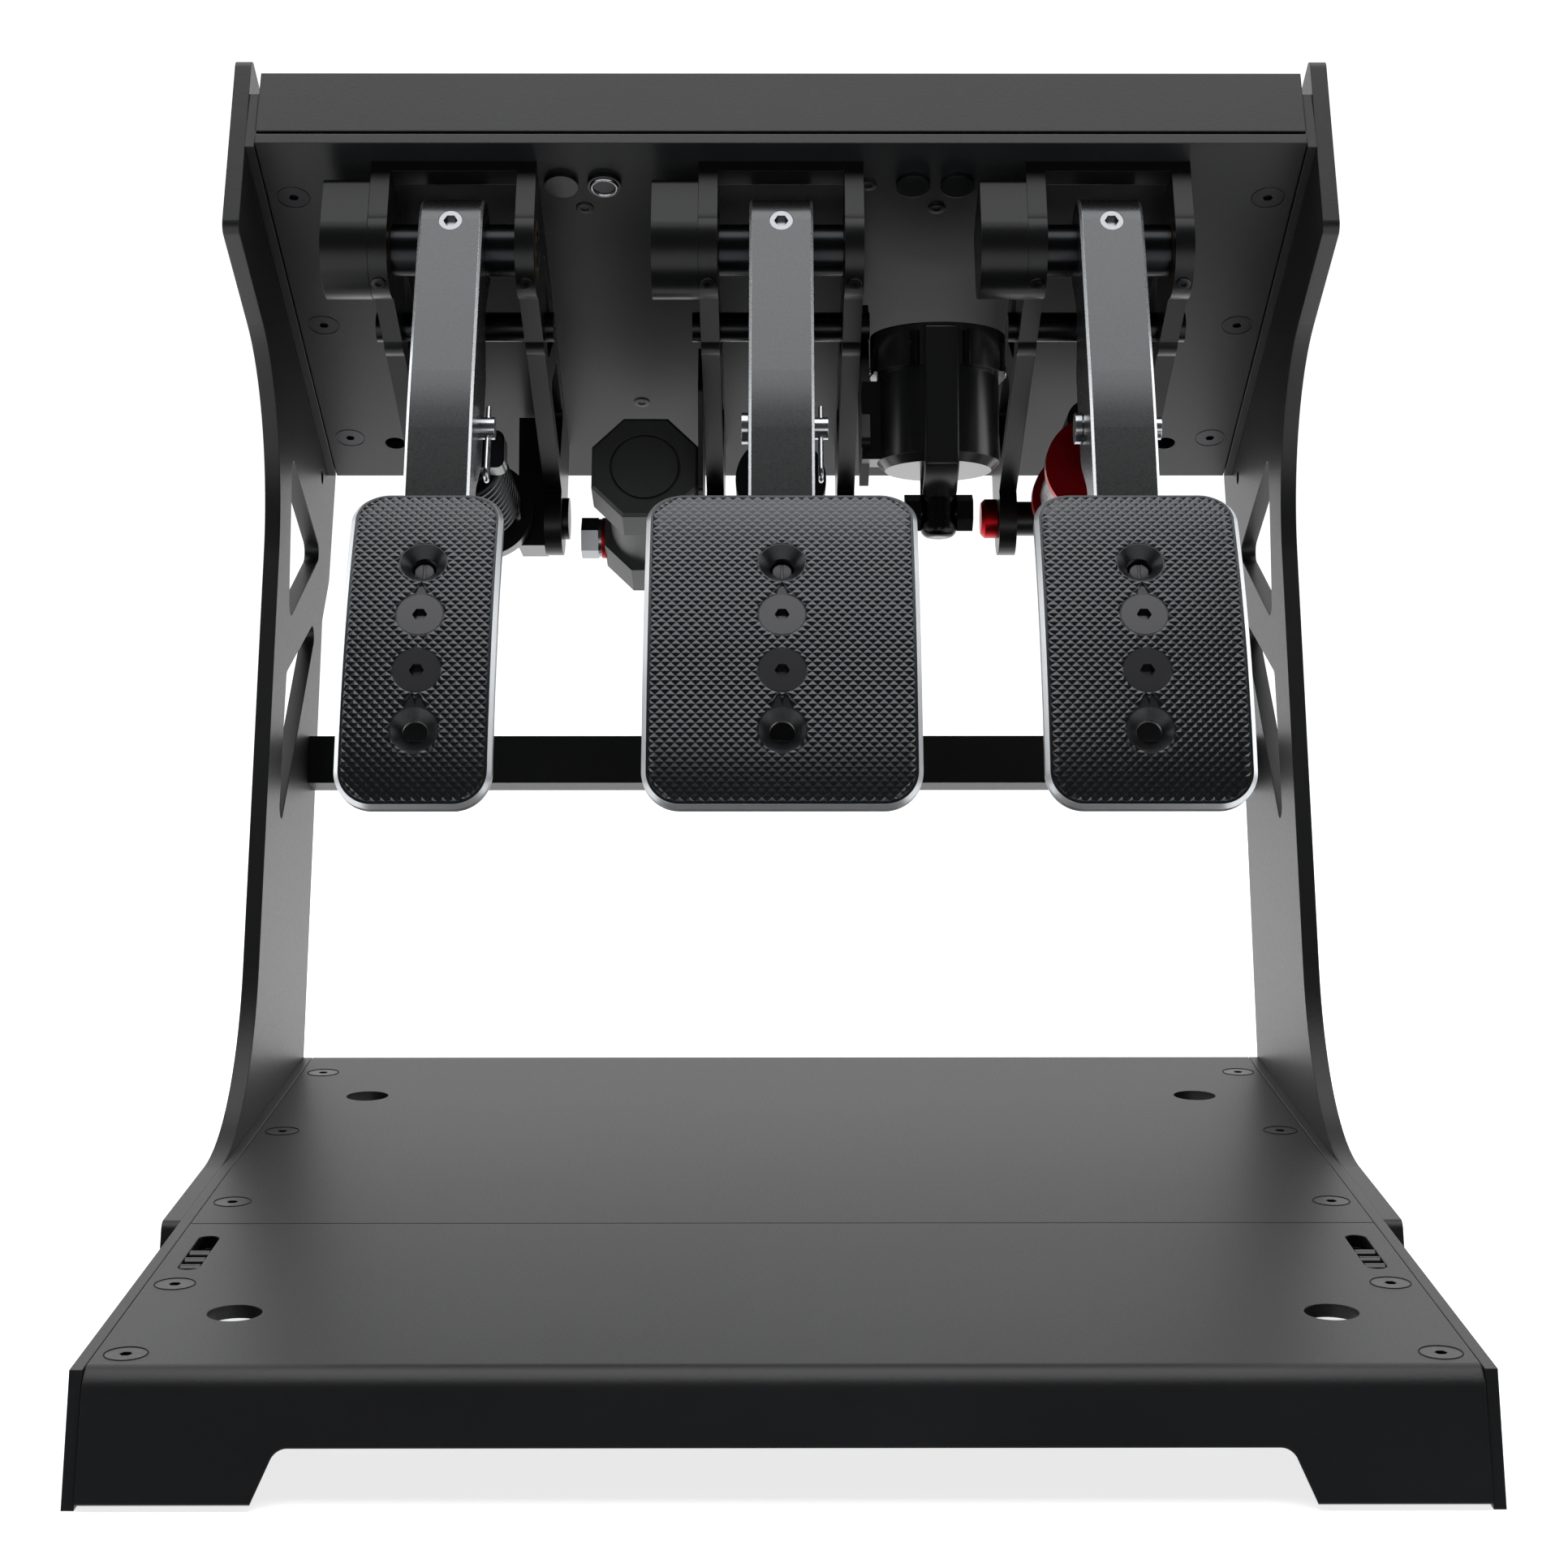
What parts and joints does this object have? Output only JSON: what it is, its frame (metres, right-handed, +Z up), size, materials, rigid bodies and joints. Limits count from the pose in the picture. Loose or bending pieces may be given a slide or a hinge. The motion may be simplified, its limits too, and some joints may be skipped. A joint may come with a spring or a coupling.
{
  "type": "sim racing pedal set",
  "caption": "Inverted racing pedal set for a home simulator: hanging clutch, brake and throttle under a sloping tray, with a heel floor.",
  "frame": {"origin": "on the floor, below the middle of the set's overall box", "axes": "+X to the driver's right, +Y away from the driver, +Z up"},
  "size_m": [0.4, 0.5479, 0.422],
  "materials": {
    "powder_coated_steel": "satin black powder coat",
    "black_anodised_aluminium": "satin black anodised",
    "red_anodised_aluminium": "dark red anodised",
    "polished_aluminium": "fine turned",
    "ground_steel": "ground",
    "zinc_plated_steel": "bright zinc",
    "black_oxide_steel": "black oxide",
    "spring_steel": "oiled dark",
    "sintered_bronze": "matte",
    "circuit_laminate": "solder mask",
    "black_plastic": "moulded",
    "gloss_plastic": "glossy moulded"
  },
  "bodies": {
    "frame": {"side_rails": "powder_coated_steel", "front_floor_plate": "powder_coated_steel", "rear_floor_plate": "powder_coated_steel", "frame_screws": "black_oxide_steel", "latch_housings": "powder_coated_steel", "right_upright": "powder_coated_steel", "left_upright": "powder_coated_steel", "crossbar": "powder_coated_steel", "mount_plate": "powder_coated_steel", "electronics_cover": "powder_coated_steel", "circuit_board": "circuit_laminate", "tray_jacks": "black_plastic", "bracket_screws": "black_oxide_steel", "module_webs": "black_anodised_aluminium", "spacer_bars": "zinc_plated_steel", "pivot_bearings": "sintered_bronze", "sensor_housings": "black_anodised_aluminium", "anchor_pins": "black_oxide_steel", "pressure_chamber": "black_anodised_aluminium", "chamber_bracket": "black_anodised_aluminium", "banjo_fitting": "zinc_plated_steel", "canister_body": "black_anodised_aluminium", "canister_cap": "black_anodised_aluminium", "canister_stem": "black_anodised_aluminium", "canister_fasteners": "zinc_plated_steel", "canister_bracket": "black_anodised_aluminium", "clutch_side_plates": "black_anodised_aluminium", "brake_side_plates": "black_anodised_aluminium", "throttle_side_plates": "black_anodised_aluminium"},
    "clutch_lever": {"clutch_arm": "black_anodised_aluminium", "clutch_pivot_shaft": "ground_steel", "clutch_clevis_pin": "zinc_plated_steel", "clutch_pad": "black_anodised_aluminium", "clutch_pad_bracket": "black_anodised_aluminium", "clutch_pedal_screws": "black_oxide_steel"},
    "clutch_strut_body": {"clutch_strut": "black_anodised_aluminium", "clutch_spring": "spring_steel"},
    "clutch_plunger": {"clutch_rod": "ground_steel"},
    "brake_lever": {"brake_arm": "black_anodised_aluminium", "brake_pivot_shaft": "ground_steel", "brake_clevis_pin": "zinc_plated_steel", "brake_pad": "black_anodised_aluminium", "brake_pad_bracket": "black_anodised_aluminium", "brake_pedal_screws": "black_oxide_steel"},
    "brake_strut_body": {"brake_strut": "black_anodised_aluminium"},
    "brake_plunger": {"brake_rod": "ground_steel"},
    "throttle_lever": {"throttle_arm": "black_anodised_aluminium", "throttle_pivot_shaft": "ground_steel", "throttle_clevis_pin": "zinc_plated_steel", "throttle_pad": "black_anodised_aluminium", "throttle_pad_bracket": "black_anodised_aluminium", "throttle_pedal_screws": "black_oxide_steel"},
    "throttle_strut_body": {"throttle_strut": "polished_aluminium", "throttle_rings": "red_anodised_aluminium", "throttle_reservoir": "black_anodised_aluminium", "throttle_spring": "spring_steel"},
    "throttle_plunger": {"throttle_rod": "ground_steel"},
    "throttle_adjuster": {"throttle_knob": "red_anodised_aluminium"},
    "left_latch": {"left_heel_latch": "gloss_plastic"},
    "right_latch": {"right_heel_latch": "gloss_plastic"}
  },
  "joints": [
    {"name": "clutch_press", "type": "hinge", "parent": "frame", "child": "clutch_lever", "pos_m": [-0.119, 0.05878, 0.35276], "axis": [1, 0, 0], "range_deg": [0, 18], "stiffness_Nm_per_rad": 22, "springref_deg": -8.02},
    {"name": "clutch_strut_tilt", "type": "hinge", "parent": "frame", "child": "clutch_strut_body", "pos_m": [-0.119, 0.18148, 0.25161], "axis": [1, 0, 0], "range_deg": [0, 0.83]},
    {"name": "clutch_strut_travel", "type": "slide", "parent": "clutch_strut_body", "child": "clutch_plunger", "axis": [0, 0.9727, -0.2321], "range_m": [0, 0.02242], "deforming": ["clutch_spring"]},
    {"name": "brake_press", "type": "hinge", "parent": "frame", "child": "brake_lever", "pos_m": [0, 0.05878, 0.35276], "axis": [1, 0, 0], "range_deg": [0, 8], "stiffness_Nm_per_rad": 180, "springref_deg": -1.72},
    {"name": "brake_strut_tilt", "type": "hinge", "parent": "frame", "child": "brake_strut_body", "pos_m": [0, 0.18148, 0.25161], "axis": [1, 0, 0], "range_deg": [0, 0.62]},
    {"name": "brake_strut_travel", "type": "slide", "parent": "brake_strut_body", "child": "brake_plunger", "axis": [0, 0.9727, -0.2321], "range_m": [0, 0.00998]},
    {"name": "throttle_press", "type": "hinge", "parent": "frame", "child": "throttle_lever", "pos_m": [0.119, 0.05878, 0.35276], "axis": [1, 0, 0], "range_deg": [0, 16], "stiffness_Nm_per_rad": 12, "springref_deg": -11.46},
    {"name": "throttle_strut_tilt", "type": "hinge", "parent": "frame", "child": "throttle_strut_body", "pos_m": [0.119, 0.18148, 0.25161], "axis": [1, 0, 0], "range_deg": [0, 0.82]},
    {"name": "throttle_strut_travel", "type": "slide", "parent": "throttle_strut_body", "child": "throttle_plunger", "axis": [0, 0.9727, -0.2321], "range_m": [0, 0.01986], "deforming": ["throttle_spring"]},
    {"name": "throttle_adjuster_turn", "type": "hinge", "parent": "frame", "child": "throttle_adjuster", "pos_m": [0.085, 0.18148, 0.25161], "axis": [1, 0, 0], "range_deg": [-180, 180]},
    {"name": "left_latch_slide", "type": "slide", "parent": "frame", "child": "left_latch", "axis": [0, 1, 0], "range_m": [0, 0.0115]},
    {"name": "right_latch_slide", "type": "slide", "parent": "frame", "child": "right_latch", "axis": [0, 1, 0], "range_m": [0, 0.0115]}
  ],
  "couplings": [
    {"joint": "clutch_strut_tilt", "follows": "clutch_press", "ratio": 0.045},
    {"joint": "clutch_strut_travel", "follows": "clutch_press", "m_per_rad": 0.07105},
    {"joint": "brake_strut_tilt", "follows": "brake_press", "ratio": 0.075},
    {"joint": "brake_strut_travel", "follows": "brake_press", "m_per_rad": 0.07076},
    {"joint": "throttle_strut_tilt", "follows": "throttle_press", "ratio": 0.05},
    {"joint": "throttle_strut_travel", "follows": "throttle_press", "m_per_rad": 0.07076}
  ]
}
